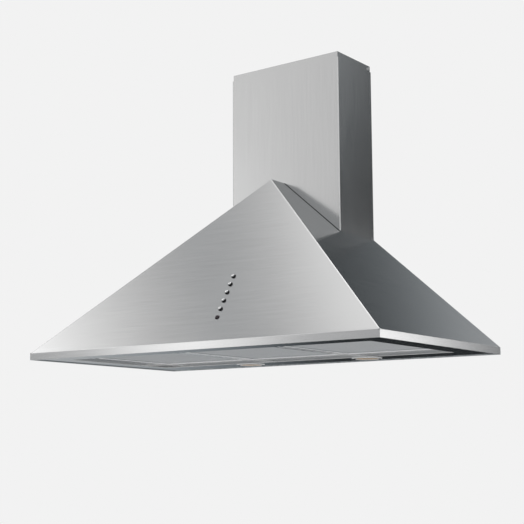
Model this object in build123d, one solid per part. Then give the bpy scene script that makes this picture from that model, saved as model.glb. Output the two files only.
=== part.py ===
from build123d import *
import os
from math import asin, cos, hypot, radians, sin

# Wall-mounted chimney range hood: a low pyramid canopy of folded stainless sheet with a
# telescopic chimney, three washable filters, two lamps, a button row and a scroll blower.
# Millimetres. X runs across the hood, the front faces -Y, the wall is at +Y and Z is up.
# The origin is on the bench plane under the rim, midway between front and wall.

# ---------------------------------------------------------------- driving dimensions
WIDTH = 900.0
DEPTH = 500.0
SHEET = 1.0
SEAM = 0.3
RIM_HEIGHT = 15.0
HEM_WIDTH = 4.0
HEM_HEIGHT = 1.5
RIDGE_HEIGHT = 406.0
APEX_SETBACK = 304.0

CHIMNEY_WIDTH = 296.0
CHIMNEY_DEPTH = 144.0
CHIMNEY_FLANGE = 12.0
CHIMNEY_LOWER_TOP = 676.0
CHIMNEY_UPPER_LENGTH = 380.0
CHIMNEY_REVEAL = 14.0
CHIMNEY_SLIDE_GAP = 0.5
WINDOW_FLANGE = 14.0
VENT_COUNT = 8
VENT_LENGTH = 60.0
VENT_HEIGHT = 4.0
VENT_PITCH = 9.0
VENT_FROM_TOP = 62.0

# Underside tray: a flat lip round a recess that holds the filters
FRONT_LIP = 68.0
SIDE_LIP = 60.0
LAMP_PANEL = 97.0
TRAY_WALL_TOP = 20.0
TRAY_LEDGE = 9.0
TRAY_BEND = 2.5

FILTER_COUNT = 3
FILTER_GAP = 2.0
FILTER_END_GAP = 1.5
FILTER_RAIL = 12.0
FILTER_BOTTOM = 9.0
FILTER_BEAD = 4.0
FILTER_TOP = 22.0
FILTER_TOP_FLANGE = 8.0
FILTER_RAIL_ROUND = 1.8
MESH_GAP = 0.3
MESH_LAYER = 0.8
MESH_LAYERS = 3
HOOK_WIDTH = 22.0
HOOK_REACH = 9.0
HOOK_SPACING = 170.0
HOOK_LIFT = 0.3
LATCH_CASE_WIDTH = 54.0
LATCH_CASE_DEPTH = 36.0
LATCH_WALL = 2.0
LATCH_PLATE = 22.0
LATCH_THICKNESS = 1.4
LATCH_TONGUE_WIDTH = 30.0
LATCH_REACH = 7.0
LATCH_GRIP = 3.0
LATCH_PLAY = 0.3
DIVIDER_WIDTH = 26.0
DIVIDER_HEIGHT = 14.0

# Lamps in the rear part of the tray
LAMP_SPACING = 320.0
LAMP_EDGE_GAP = 3.0
LAMP_BEZEL_RADIUS = 35.0
LAMP_VIEW_RADIUS = 26.5
LAMP_HOLE_RADIUS = 31.0
LAMP_GLASS_RADIUS = 29.0
LAMP_GLASS_THICKNESS = 2.5
LAMP_BEZEL_DROP = 1.2
LAMP_LIP = 0.9
LAMP_CAN_HEIGHT = 34.0
LAMP_CAN_WALL = 0.8
LAMP_BULB_RADIUS = 6.0
LAMP_BULB_LENGTH = 22.0
LAMP_SOCKET_RADIUS = 9.0
LAMP_SOCKET_HEIGHT = 8.0

# Button row on the front panel
BUTTON_COUNT = 5
BUTTON_PITCH = 23.7
BUTTON_ROW_X = 45.2
BUTTON_ROW_UP = 123.5
BUTTON_ROW_TILT = 6.3
BUTTON_RADIUS = 4.2
BUTTON_PROUD = 3.4
BUTTON_EDGE = 0.9
BUTTON_TRAVEL = 2.5
BUTTON_CLEARANCE = 0.3
BUTTON_FLANGE_RADIUS = 5.8
BUTTON_FLANGE = 2.0
BUTTON_STEM_SIDE = 3.6
BUTTON_STEM = 6.0
SLEEVE_WALL = 0.8
GUIDE_WIDTH = 13.0
SLEEVE_DEPTH = 12.0
SLEEVE_PROUD = 0.2
SWITCH_CASE_WIDTH = 28.0
SWITCH_CASE_END = 17.0
SWITCH_CASE_DEPTH = 30.0
SWITCH_CASE_WALL = 2.0
BOARD_THICKNESS = 1.6
SWITCH_SIDE = 10.0
SWITCH_HEIGHT = 5.0
PLUNGER_SIDE = 3.0
PILOT_PROUD = 2.6

# Blower
DECK_HEIGHT = 270.0
DECK_FLANGE = 14.0
CABLE_HOLE_RADIUS = 10.0
FAN_HEIGHT = 150.0
FAN_RADIUS = 75.0
FAN_HALF_LENGTH = 57.0
BLADE_COUNT = 32
BLADE_INNER_RADIUS = 62.0
BLADE_CURVE_RADIUS = 11.0
BLADE_STEPS = 2
BLADE_THICKNESS = 1.2
FAN_RING = 2.0
FAN_DISC = 2.0
FAN_HUB_RADIUS = 11.0
FAN_HUB_LENGTH = 20.0
SCROLL_HALF_WIDTH = 65.0
SCROLL_WALL = 2.0
SCROLL_START_RADIUS = 91.0
SCROLL_STEP = 14.0
OUTLET_DEPTH = 118.0
SCROLL_FLANGE = 8.0
SCROLL_FLANGE_THICKNESS = 3.0
INLET_HOLE_RADIUS = 64.0
INLET_RING_RADIUS = 76.0
INLET_THROAT_RADIUS = 58.0
INLET_SHEET = 1.5
INLET_REACH = 9.0
BELL_STEPS = 3

SHAFT_RADIUS = 4.0
SHAFT_CLEARANCE = 0.04
MOTOR_RADIUS = 42.0
MOTOR_WALL = 2.0
MOTOR_LENGTH = 50.0
BEARING_RADIUS = 8.0
BEARING_LENGTH = 8.0
BEARING_BOSS_RADIUS = 12.0
STATOR_BORE = 26.0
STATOR_LENGTH = 24.0
ROTOR_GAP = 0.5
SPIDER_THICKNESS = 2.0
SPIDER_HUB_RADIUS = 24.0
SPIDER_ARM_WIDTH = 14.0
SPIDER_ARMS = 3
RING_SCREW_RADIUS = 70.0

# Outlet spigot with back-draught flaps
SPIGOT_RADIUS = 59.5
SPIGOT_WALL = 1.5
SPIGOT_HEIGHT = 50.0
SPIGOT_FLANGE_RADIUS = 69.0
SPIGOT_FLANGE = 2.0
FLAP_LEVEL = 12.0
FLAP_THICKNESS = 1.0
FLAP_PIN_OFFSET = 3.5
FLAP_PIN_RADIUS = 1.5
FLAP_PIN_CLEARANCE = 0.05
FLAP_EDGE_GAP = 0.7
FLAP_KNUCKLE_RADIUS = 2.4
FLAP_STOP_WIDTH = 2.5
FLAP_STOP_HEIGHT = 1.5

# Electrical boxes and fixings
CAPACITOR_RADIUS = 18.0
CAPACITOR_LENGTH = 60.0
CAPACITOR_GAP = 27.0
CAPACITOR_FROM_WALL = 60.0
TERMINAL_BOX = (84.0, 38.0, 58.0)
TERMINAL_BOX_X = -112.0
TERMINAL_BOX_Z = 145.0
TERMINAL_WALL = 2.0
GLAND_RADIUS = 9.0
GLAND_BORE = 4.0
GLAND_HEIGHT = 14.0
TRANSFORMER = (76.0, 34.0, 42.0)
TRANSFORMER_X = 150.0
TRANSFORMER_Z = 145.0
REAR_TOP = 300.0
WALL_HOLE_RADIUS = 4.0
WALL_HOLE_SPACING_X = 260.0
WALL_HOLE_SPACING_Z = 170.0
WALL_HOLE_CENTRE_Z = 145.0
BRACKET_HOLE_SPACING = 200.0
BRACKET_HOLE_RADIUS = 3.0
BRACKET_HEIGHT = 30.0
BRACKET_SHEET = 1.5
BRACKET_EAR = 14.0
BRACKET_REACH = 130.0
SCREW_RADIUS = 1.8
SCREW_HEAD_RADIUS = 3.8
SCREW_HEAD = 1.8
SCREW_SIDES = 6
SCREW_CLEARANCE = 0.2

# ---------------------------------------------------------------- derived values
FRONT = -DEPTH / 2
WALL = DEPTH / 2
RISE = RIDGE_HEIGHT - RIM_HEIGHT
SLOPE_LENGTH = hypot(RISE, APEX_SETBACK)
TRAY_Z = HEM_HEIGHT
OPENING_WIDTH = WIDTH - 2 * SIDE_LIP
OPENING_FRONT = FRONT + FRONT_LIP
OPENING_REAR = WALL - LAMP_PANEL
LAMP_Y = OPENING_REAR + LAMP_EDGE_GAP + LAMP_BEZEL_RADIUS
CHIMNEY_FRONT = WALL - CHIMNEY_DEPTH
DUCT_Y = WALL - CHIMNEY_DEPTH / 2
FILTER_WIDTH = (OPENING_WIDTH - (FILTER_COUNT + 1) * FILTER_GAP) / FILTER_COUNT
FILTER_PITCH = FILTER_WIDTH + FILTER_GAP
FILTER_FRONT = OPENING_FRONT + FILTER_END_GAP
FILTER_REAR = OPENING_REAR - FILTER_END_GAP
MESH_BOTTOM = FILTER_BOTTOM + FILTER_BEAD
MESH_TOP = FILTER_TOP - SHEET
FAR = 2 * WIDTH

parts = {}


# ---------------------------------------------------------------- helpers
def block(x_span, y_span, z_span):
    """A box given by its (low, high) span along each axis."""
    spans = (x_span, y_span, z_span)
    size = [high - low for low, high in spans]
    centre = [(high + low) / 2 for low, high in spans]
    return Pos(*centre) * Box(*size)


def upright(radius, x, y, z_low, z_high):
    """A cylinder along Z."""
    return Pos(x, y, (z_low + z_high) / 2) * Cylinder(radius, z_high - z_low)


def crosswise(radius, y, z, x_low, x_high):
    """A cylinder along X."""
    turned = Rot(0, 90, 0) * Cylinder(radius, x_high - x_low)
    return Pos((x_low + x_high) / 2, y, z) * turned


def lengthwise(radius, x, z, y_low, y_high):
    """A cylinder along Y."""
    turned = Rot(90, 0, 0) * Cylinder(radius, y_high - y_low)
    return Pos(x, (y_low + y_high) / 2, z) * turned


def screw_rod(radius, low, high):
    """A prism along Z: the plain form of a screw's head and shank, and of the hole punched for it."""
    return Pos(0, 0, low) * extrude(RegularPolygon(radius, SCREW_SIDES), high - low)


def screw(seat, out, depth):
    """A screw along Z: a hexagon head from the seat outwards and a shank of the given depth."""
    head = screw_rod(SCREW_HEAD_RADIUS, *sorted((seat, seat + out * SCREW_HEAD)))
    return head + screw_rod(SCREW_RADIUS, *sorted((seat, seat - out * depth)))


def screw_hole(low, high):
    return screw_rod(SCREW_RADIUS + SCREW_CLEARANCE, low, high)


def prism_along_y(points_xz, y_low, y_high):
    """A prism whose outline is given in X and Z."""
    outline = Plane.XZ.offset(-y_low) * make_face(Polyline(*points_xz, close=True))
    return extrude(outline, -(y_high - y_low))


def between(outer, inner):
    """A flat sheet between two polygons with parallel edges: its edges are mitred."""
    rings = [Wire.make_polygon([Vector(*p) for p in ring], close=True) for ring in (outer, inner)]
    return Solid.make_loft(rings, ruled=True)


def group(solids):
    """Several separate solids under one name."""
    return Compound(children=list(solids))


def side_x(z, inset=0.0):
    """Half width of the canopy at height z, measured to a plane inset from the outer face."""
    return (RIDGE_HEIGHT - z) * (WIDTH / 2) / RISE - inset * hypot(RISE, WIDTH / 2) / RISE


def front_y(z, inset=0.0):
    """Y of the leaning front at height z, measured to a plane inset from the outer face."""
    return FRONT + (z - RIM_HEIGHT) * APEX_SETBACK / RISE + inset * SLOPE_LENGTH / RISE


def ridge_z(inset=0.0):
    """Height of the ridge where the two inset side planes meet."""
    return RIDGE_HEIGHT - inset * hypot(RISE, WIDTH / 2) / (WIDTH / 2)


# ---------------------------------------------------------------- canopy
def canopy_corner(side, inset):
    return (side * side_x(RIM_HEIGHT, inset), front_y(RIM_HEIGHT, inset), RIM_HEIGHT)


def canopy_apex(inset):
    top = ridge_z(inset)
    return (0.0, front_y(top, inset), top)


def chimney_window():
    """The opening through the ridge inside the chimney, with a flange left at each side."""
    half = CHIMNEY_WIDTH / 2 - WINDOW_FLANGE
    return block((-half, half), (CHIMNEY_FRONT + SHEET, WALL + SHEET), (0, RIDGE_HEIGHT * 2))


def make_front_panel():
    rings = []
    for inset in (0.0, SHEET):
        rings.append([canopy_corner(-1, inset), canopy_corner(1, inset), canopy_apex(inset)])
    panel = between(*rings)
    hole = BUTTON_RADIUS + BUTTON_CLEARANCE + SLEEVE_WALL + SCREW_CLEARANCE
    for offset in button_offsets():
        panel = panel - row_frame() * Pos(offset, 0, 0) * Cylinder(hole, 4 * SHEET)
    return panel


def make_side_panel(side):
    back = WALL - SHEET
    rings = []
    for inset in (0.0, SHEET):
        corner = canopy_corner(side, inset)
        apex = canopy_apex(inset)
        rear_corner = (corner[0], back, corner[2])
        rear_ridge = (0.0, back, apex[2])
        rings.append([corner, rear_corner, rear_ridge, apex])
    return between(*rings) - chimney_window()


def u_outline(inset):
    """Footprint of the rim, open to the wall, inset on the front and sides."""
    half = WIDTH / 2 - inset
    return (-half, half), (FRONT + inset, WALL - SHEET)


def make_rim_band():
    """Vertical band round the front and sides with a hem folded inwards at the bottom."""
    outer_x, outer_y = u_outline(0)
    inner_x, inner_y = u_outline(SHEET)
    hem_x, hem_y = u_outline(HEM_WIDTH)
    past = (inner_y[0], WALL)
    band = block(outer_x, outer_y, (0, RIM_HEIGHT)) - block(inner_x, past, (-1, RIM_HEIGHT + 1))
    hem = block(outer_x, outer_y, (0, HEM_HEIGHT))
    hem = hem - block(hem_x, (hem_y[0], WALL), (-1, HEM_HEIGHT + 1))
    return band + hem


def make_rear_panel():
    top = side_x(REAR_TOP)
    half = WIDTH / 2
    outline = [(-half, 0), (half, 0), (half, RIM_HEIGHT), (top, REAR_TOP), (-top, REAR_TOP),
               (-half, RIM_HEIGHT)]
    panel = prism_along_y(outline, WALL - SHEET, WALL)
    for x in (-WALL_HOLE_SPACING_X / 2, WALL_HOLE_SPACING_X / 2):
        for z_side in (-1, 1):
            z = WALL_HOLE_CENTRE_Z + z_side * WALL_HOLE_SPACING_Z / 2
            panel = panel - lengthwise(WALL_HOLE_RADIUS, x, z, WALL - 2 * SHEET, WALL + SHEET)
    return panel


def make_underside_tray():
    """Flat lip with a recess: the walls turn up round the filters and end in a ledge."""
    half = OPENING_WIDTH / 2
    outer_half = WIDTH / 2 - SHEET - SEAM
    outer = block((-outer_half, outer_half), (FRONT + SHEET + SEAM, WALL - SHEET - SEAM),
                  (TRAY_Z, TRAY_Z + SHEET))
    well = block((-half - SHEET, half + SHEET), (OPENING_FRONT - SHEET, OPENING_REAR + SHEET),
                 (TRAY_Z, TRAY_WALL_TOP))
    ledge_half = half + TRAY_LEDGE
    ledge = block((-ledge_half, ledge_half), (OPENING_FRONT - TRAY_LEDGE, OPENING_REAR + TRAY_LEDGE),
                  (TRAY_WALL_TOP - SHEET, TRAY_WALL_TOP))
    opening = block((-half, half), (OPENING_FRONT, OPENING_REAR), (0, RIM_HEIGHT * 2))
    tray = outer + well + ledge - opening
    edges = tray.edges().filter_by(lambda e: e.center().Z < TRAY_Z + 0.01)
    edges = edges.filter_by(lambda e: abs(e.center().X) < half + 0.01)
    edges = edges.filter_by(lambda e: OPENING_FRONT - 0.01 < e.center().Y < OPENING_REAR + 0.01)
    tray = fillet(edges, SHEET * 0.9)
    for x in lamp_places():
        tray = tray - upright(LAMP_HOLE_RADIUS, x, LAMP_Y, 0, RIM_HEIGHT)
    return tray


def make_filter_dividers():
    """Two inverted channels above the joints between filters, standing on the ledges."""
    rails = []
    for index in range(FILTER_COUNT - 1):
        x = (index - (FILTER_COUNT - 2) / 2) * FILTER_PITCH
        low = FILTER_TOP + 1.0
        half = DIVIDER_WIDTH / 2
        rail_y = (OPENING_FRONT - TRAY_LEDGE, OPENING_REAR + TRAY_LEDGE)
        rail = block((x - half, x + half), rail_y, (low, low + DIVIDER_HEIGHT))
        hollow = block((x - half + SHEET, x + half - SHEET), rail_y, (low - 1, low + DIVIDER_HEIGHT - SHEET))
        rail = rail - hollow
        for foot_y in ((rail_y[0], OPENING_FRONT - SHEET), (OPENING_REAR + SHEET, rail_y[1])):
            rail = rail + block((x - half, x + half), foot_y, (TRAY_WALL_TOP, low + SHEET))
        rails.append(rail)
    return group(rails)


# ---------------------------------------------------------------- chimney
def chimney_sleeve(outer_half, front, back, z_low, z_high):
    """A three-sided cover with flanges turned in along its rear edges."""
    shell = block((-outer_half, outer_half), (front, back), (z_low, z_high))
    inner = outer_half - SHEET
    shell = shell - block((-inner, inner), (front + SHEET, back - SHEET), (z_low - 1, z_high + 1))
    gap = outer_half - SHEET - CHIMNEY_FLANGE
    return shell - block((-gap, gap), (back - 2 * SHEET, back + 1), (z_low - 1, z_high + 1))


def make_chimney_lower():
    half = CHIMNEY_WIDTH / 2
    low = RIM_HEIGHT
    cover = chimney_sleeve(half, CHIMNEY_FRONT, WALL, low, CHIMNEY_LOWER_TOP)
    outset = -SEAM
    roof = [(-side_x(0, outset), 0), (side_x(0, outset), 0), (0, ridge_z(outset))]
    return cover - prism_along_y(roof, FRONT, WALL + SHEET)


def upper_half_width():
    return CHIMNEY_WIDTH / 2 - SHEET - CHIMNEY_SLIDE_GAP


def upper_span_y():
    return (CHIMNEY_FRONT + SHEET + CHIMNEY_SLIDE_GAP, WALL - SHEET - CHIMNEY_SLIDE_GAP)


def upper_top():
    return CHIMNEY_LOWER_TOP + CHIMNEY_REVEAL


def at_bracket_screws(shape):
    """Turns a shape made about Z onto the side screws' axis near the top, +Z towards +X."""
    y = upper_span_y()[1] - SHEET - BRACKET_EAR / 2
    return Pos(0, y, upper_top() - CHIMNEY_REVEAL / 2) * Rot(0, 90, 0) * shape


def make_chimney_upper():
    top = upper_top()
    front, back = upper_span_y()
    half = upper_half_width()
    cover = chimney_sleeve(half, front, back, top - CHIMNEY_UPPER_LENGTH, top)
    middle = (front + back) / 2
    for row in range(VENT_COUNT):
        z = top - VENT_FROM_TOP - row * VENT_PITCH
        slot = Rot(90, 0, 90) * extrude(SlotOverall(VENT_LENGTH, VENT_HEIGHT), 2 * FAR)
        cover = cover - Pos(-FAR, middle, z) * slot
    return cover - at_bracket_screws(screw_hole(-half - 1, half + 1))


def make_chimney_bracket():
    """Wall strap: its middle lies on the wall and its ears hold the upper cover."""
    top = upper_top()
    z_span = (top - BRACKET_HEIGHT, top)
    half = upper_half_width() - SHEET - SEAM
    flange_face = upper_span_y()[1] - SHEET - SEAM
    rear = flange_face
    strap = block((-half, half), (rear - BRACKET_SHEET, rear), z_span)
    strap = strap - block((-BRACKET_REACH, BRACKET_REACH), (FRONT, WALL), z_span)
    back = WALL
    strap = strap + block((-BRACKET_REACH, BRACKET_REACH), (back - BRACKET_SHEET, back), z_span)
    for side in (-1, 1):
        step = sorted((side * BRACKET_REACH, side * (BRACKET_REACH - BRACKET_SHEET)))
        strap = strap + block(step, (rear - BRACKET_SHEET, back), z_span)
        ear = sorted((side * half, side * (half - BRACKET_SHEET)))
        strap = strap + block(ear, (rear - BRACKET_EAR, rear), z_span)
        x = side * BRACKET_HOLE_SPACING / 2
        z = top - BRACKET_HEIGHT / 2
        strap = strap - lengthwise(BRACKET_HOLE_RADIUS, x, z, back - 3 * SHEET, back + SHEET)
    return strap - at_bracket_screws(screw_hole(-half - 1, half + 1))


def make_chimney_screws():
    half = upper_half_width()
    depth = 4 * SHEET + BRACKET_SHEET
    return group([at_bracket_screws(screw(side * half, side, depth)) for side in (-1, 1)])


# ---------------------------------------------------------------- filters
def filter_x(index):
    return (index - (FILTER_COUNT - 1) / 2) * FILTER_PITCH


def latch_case_span(x, wall=0.0):
    half = LATCH_CASE_WIDTH / 2 - wall
    return (x - half, x + half), (FILTER_FRONT + wall, FILTER_FRONT + LATCH_CASE_DEPTH - wall)


def make_filter_frame(x):
    """Rounded lower bead, thin outer wall and top flange, with rear hooks and a latch case."""
    half = FILTER_WIDTH / 2
    x_span = (x - half, x + half)
    y_span = (FILTER_FRONT, FILTER_REAR)

    def ring(z_span, width):
        outer = block(x_span, y_span, z_span)
        hole_x = (x_span[0] + width, x_span[1] - width)
        hole_y = (y_span[0] + width, y_span[1] - width)
        return outer - block(hole_x, hole_y, (z_span[0] - 1, z_span[1] + 1))

    bead = ring((FILTER_BOTTOM, MESH_BOTTOM), FILTER_RAIL)
    lower = bead.edges().filter_by(lambda e: abs(e.center().Z - FILTER_BOTTOM) < 0.01)
    frame = fillet(lower, FILTER_RAIL_ROUND)
    frame = frame + ring((MESH_BOTTOM, FILTER_TOP), SHEET)
    frame = frame + ring((MESH_TOP, FILTER_TOP), FILTER_TOP_FLANGE)
    for side in (-1, 1):
        hook_x = x + side * HOOK_SPACING / 2
        hook = block((hook_x - HOOK_WIDTH / 2, hook_x + HOOK_WIDTH / 2),
                     (FILTER_REAR - SHEET, OPENING_REAR + HOOK_REACH),
                     (TRAY_WALL_TOP + HOOK_LIFT, FILTER_TOP))
        frame = frame + hook
    case_x, case_y = latch_case_span(x)
    pocket_x, pocket_y = latch_case_span(x, LATCH_WALL)
    frame = frame + block(case_x, case_y, (FILTER_BOTTOM, FILTER_TOP + LATCH_WALL))
    frame = frame - block(pocket_x, pocket_y, (0, FILTER_TOP))
    tongue_half = LATCH_TONGUE_WIDTH / 2 + LATCH_PLAY
    slot_z = (FILTER_TOP - LATCH_THICKNESS - 2 * LATCH_PLAY, FILTER_TOP)
    slot = block((x - tongue_half, x + tongue_half), (FRONT, FILTER_FRONT + LATCH_WALL + 1), slot_z)
    return frame - slot


def make_filter_mesh(x):
    """Layers of expanded metal: the lowest lies on the bead and the highest under the flange."""
    half = FILTER_WIDTH / 2 - SHEET - MESH_GAP
    y_span = (FILTER_FRONT + SHEET + MESH_GAP, FILTER_REAR - SHEET - MESH_GAP)
    case_x, case_y = latch_case_span(x, -MESH_GAP)
    layers = []
    for index in range(MESH_LAYERS):
        low = MESH_BOTTOM + index * (MESH_TOP - MESH_BOTTOM - MESH_LAYER) / (MESH_LAYERS - 1)
        layer = block((x - half, x + half), y_span, (low, low + MESH_LAYER))
        layers.append(layer - block(case_x, (FRONT, case_y[1]), (low - 1, low + MESH_LAYER + 1)))
    return group(layers)


def make_filter_latch(x):
    """Sliding plate with a finger grip below and a tongue that rests on the tray ledge."""
    top = FILTER_TOP - LATCH_PLAY
    low = top - LATCH_THICKNESS
    inner_front = FILTER_FRONT + LATCH_WALL + LATCH_PLAY
    half = LATCH_CASE_WIDTH / 2 - LATCH_WALL - LATCH_PLAY
    plate = block((x - half, x + half), (inner_front, inner_front + LATCH_PLATE), (low, top))
    tongue_half = LATCH_TONGUE_WIDTH / 2
    tip = OPENING_FRONT - LATCH_REACH
    tongue = block((x - tongue_half, x + tongue_half), (tip, inner_front + 1), (low, top))
    grip_y = inner_front + LATCH_PLATE - LATCH_GRIP
    grip = block((x - half, x + half), (grip_y, grip_y + LATCH_GRIP), (FILTER_BOTTOM + 1, top))
    return plate + tongue + grip


# ---------------------------------------------------------------- lamps
def lamp_places():
    return (-LAMP_SPACING / 2, LAMP_SPACING / 2)


def lamp_revolve(x, profile):
    """A round lamp piece from its (radius, z) outline."""
    turned = revolve(make_face(Plane.XZ * Polyline(*profile, close=True)), Axis.Z)
    return Pos(x, LAMP_Y, 0) * turned


def make_lamp_bezel(x):
    low = TRAY_Z - LAMP_BEZEL_DROP
    glass = low + LAMP_LIP
    seat = LAMP_GLASS_RADIUS + SCREW_CLEARANCE
    sleeve = LAMP_HOLE_RADIUS - SEAM
    top = TRAY_Z + 4 * SHEET
    profile = [(LAMP_VIEW_RADIUS, glass), (LAMP_VIEW_RADIUS + LAMP_LIP, low),
               (LAMP_BEZEL_RADIUS - LAMP_BEZEL_DROP, low), (LAMP_BEZEL_RADIUS, TRAY_Z),
               (sleeve, TRAY_Z), (sleeve, top), (seat, top), (seat, glass)]
    return lamp_revolve(x, profile)


def lamp_glass_top():
    return TRAY_Z - LAMP_BEZEL_DROP + LAMP_LIP + LAMP_GLASS_THICKNESS


def make_lamp_glass(x):
    low = TRAY_Z - LAMP_BEZEL_DROP + LAMP_LIP
    radius = LAMP_GLASS_RADIUS
    profile = [(0, low), (radius, low), (radius, lamp_glass_top()), (0, lamp_glass_top())]
    return lamp_revolve(x, profile)


def make_lamp_reflector(x):
    """A round can above the glass that narrows to the socket."""
    low = lamp_glass_top()
    high = low + LAMP_CAN_HEIGHT
    outer = LAMP_GLASS_RADIUS
    inner = outer - LAMP_CAN_WALL
    neck = LAMP_SOCKET_RADIUS + SEAM
    shoulder = low + LAMP_CAN_HEIGHT / 2
    profile = [(inner, low), (outer, low), (outer, shoulder), (neck + LAMP_CAN_WALL, high), (neck, high),
               (neck, high - LAMP_CAN_WALL), (inner, shoulder)]
    return lamp_revolve(x, profile)


def make_lamp_bulb(x):
    """Capsule bulb and its ceramic socket in the neck of the reflector."""
    top = lamp_glass_top() + LAMP_CAN_HEIGHT
    base = top - LAMP_SOCKET_HEIGHT / 2
    socket = upright(LAMP_SOCKET_RADIUS, x, LAMP_Y, base, base + LAMP_SOCKET_HEIGHT)
    bulb = upright(LAMP_BULB_RADIUS, x, LAMP_Y, base - LAMP_BULB_LENGTH, base)
    tip = bulb.edges().filter_by(GeomType.CIRCLE).sort_by(Axis.Z)[0]
    return socket + chamfer(tip, LAMP_BULB_RADIUS / 2)


# ---------------------------------------------------------------- buttons
def row_frame():
    """Frame of the button row: x runs up the row, z points out of the front panel."""
    tilt = radians(BUTTON_ROW_TILT)
    up_y = APEX_SETBACK / SLOPE_LENGTH
    up_z = RISE / SLOPE_LENGTH
    origin = (BUTTON_ROW_X, FRONT + BUTTON_ROW_UP * up_y, RIM_HEIGHT + BUTTON_ROW_UP * up_z)
    along = (-sin(tilt), cos(tilt) * up_y, cos(tilt) * up_z)
    return Location(Plane(origin=origin, x_dir=along, z_dir=(0, -up_z, up_y)))


def button_offsets():
    """Places along the row, from the pilot lamp at the bottom to the top button."""
    return [(index - BUTTON_COUNT / 2) * BUTTON_PITCH for index in range(BUTTON_COUNT + 1)]


def button_stop():
    return -SLEEVE_DEPTH - BUTTON_CLEARANCE


def rod(radius, low, high):
    return Pos(0, 0, (low + high) / 2) * Cylinder(radius, high - low)


def make_button(offset):
    cap = rod(BUTTON_RADIUS, button_stop(), BUTTON_PROUD)
    rim = cap.edges().filter_by(GeomType.CIRCLE).sort_by(Axis.Z)[-1]
    cap = chamfer(rim, BUTTON_EDGE)
    flange = rod(BUTTON_FLANGE_RADIUS, button_stop() - BUTTON_FLANGE, button_stop())
    stem_top = button_stop() - BUTTON_FLANGE
    half = BUTTON_STEM_SIDE / 2
    stem = block((-half, half), (-half, half), (stem_top - BUTTON_STEM, stem_top))
    return row_frame() * Pos(offset, 0, 0) * (cap + flange + stem)


def make_pilot_lens(offset):
    lens = rod(BUTTON_RADIUS + BUTTON_CLEARANCE / 2, -SLEEVE_DEPTH, PILOT_PROUD)
    rim = lens.edges().filter_by(GeomType.CIRCLE).sort_by(Axis.Z)[-1]
    return row_frame() * Pos(offset, 0, 0) * chamfer(rim, BUTTON_EDGE)


def switch_case_half_length():
    return BUTTON_COUNT * BUTTON_PITCH / 2 + SWITCH_CASE_END


def make_switch_case():
    """Open box behind the front panel: a guide rail with a bore and a collar for each button."""
    half_l = switch_case_half_length()
    half_w = SWITCH_CASE_WIDTH / 2
    top = -SHEET - SEAM
    low = -SWITCH_CASE_DEPTH
    wall = SWITCH_CASE_WALL
    case = block((-half_l, half_l), (-half_w, half_w), (low, top))
    case = case - block((-half_l + wall, half_l - wall), (-half_w + wall, half_w - wall), (low - 1, top - wall))
    bore = BUTTON_RADIUS + BUTTON_CLEARANCE
    case = case + block((-half_l, half_l), (-GUIDE_WIDTH / 2, GUIDE_WIDTH / 2), (-SLEEVE_DEPTH, top))
    for offset in button_offsets():
        case = case + Pos(offset, 0, 0) * rod(bore + SLEEVE_WALL, top, SLEEVE_PROUD)
    for offset in button_offsets():
        case = case - Pos(offset, 0, 0) * rod(bore, -SLEEVE_DEPTH - 1, SLEEVE_PROUD + 1)
    return row_frame() * case


def make_switch_board():
    half_l = switch_case_half_length()
    half_w = SWITCH_CASE_WIDTH / 2
    low = -SWITCH_CASE_DEPTH - BOARD_THICKNESS
    return row_frame() * block((-half_l, half_l), (-half_w, half_w), (low, -SWITCH_CASE_DEPTH))


def make_push_switches():
    half = SWITCH_SIDE / 2
    stem = PLUNGER_SIDE / 2
    base = -SWITCH_CASE_DEPTH
    plunger_top = button_stop() - BUTTON_FLANGE - BUTTON_STEM - BUTTON_TRAVEL - BUTTON_CLEARANCE
    switches = []
    for offset in button_offsets()[1:]:
        body = block((-half, half), (-half, half), (base, base + SWITCH_HEIGHT))
        body = body + block((-stem, stem), (-stem, stem), (base, plunger_top))
        switches.append(row_frame() * Pos(offset, 0, 0) * body)
    return group(switches)


# ---------------------------------------------------------------- blower
def scroll_centre():
    """Fan axis in Y and Z, set so that the outlet comes up under the duct."""
    reach = SCROLL_STEP / 2 + SCROLL_START_RADIUS + 2 * SCROLL_STEP
    return DUCT_Y - reach + OUTLET_DEPTH / 2, FAN_HEIGHT


def scroll_outline():
    """Air space of the scroll: three arcs that grow by one step each quarter turn."""
    a = SCROLL_STEP / 2
    r1 = SCROLL_START_RADIUS
    r2 = r1 + SCROLL_STEP
    r3 = r2 + SCROLL_STEP
    y, z = scroll_centre()
    top = DECK_HEIGHT + SHEET
    tongue = a + r3 - OUTLET_DEPTH

    def at(u, w):
        return (y + u, z + w)

    lines = [
        Line((y + tongue, top), at(tongue, r1 - a)),
        Line(at(tongue, r1 - a), at(-a, r1 - a)),
        CenterArc(at(-a, -a), r1, 90, 90),
        CenterArc(at(a, -a), r2, 180, 90),
        CenterArc(at(a, a), r3, 270, 90),
        Line(at(a + r3, a), (y + a + r3, top)),
        Line((y + a + r3, top), (y + tongue, top)),
    ]
    return make_face(lines)


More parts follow.
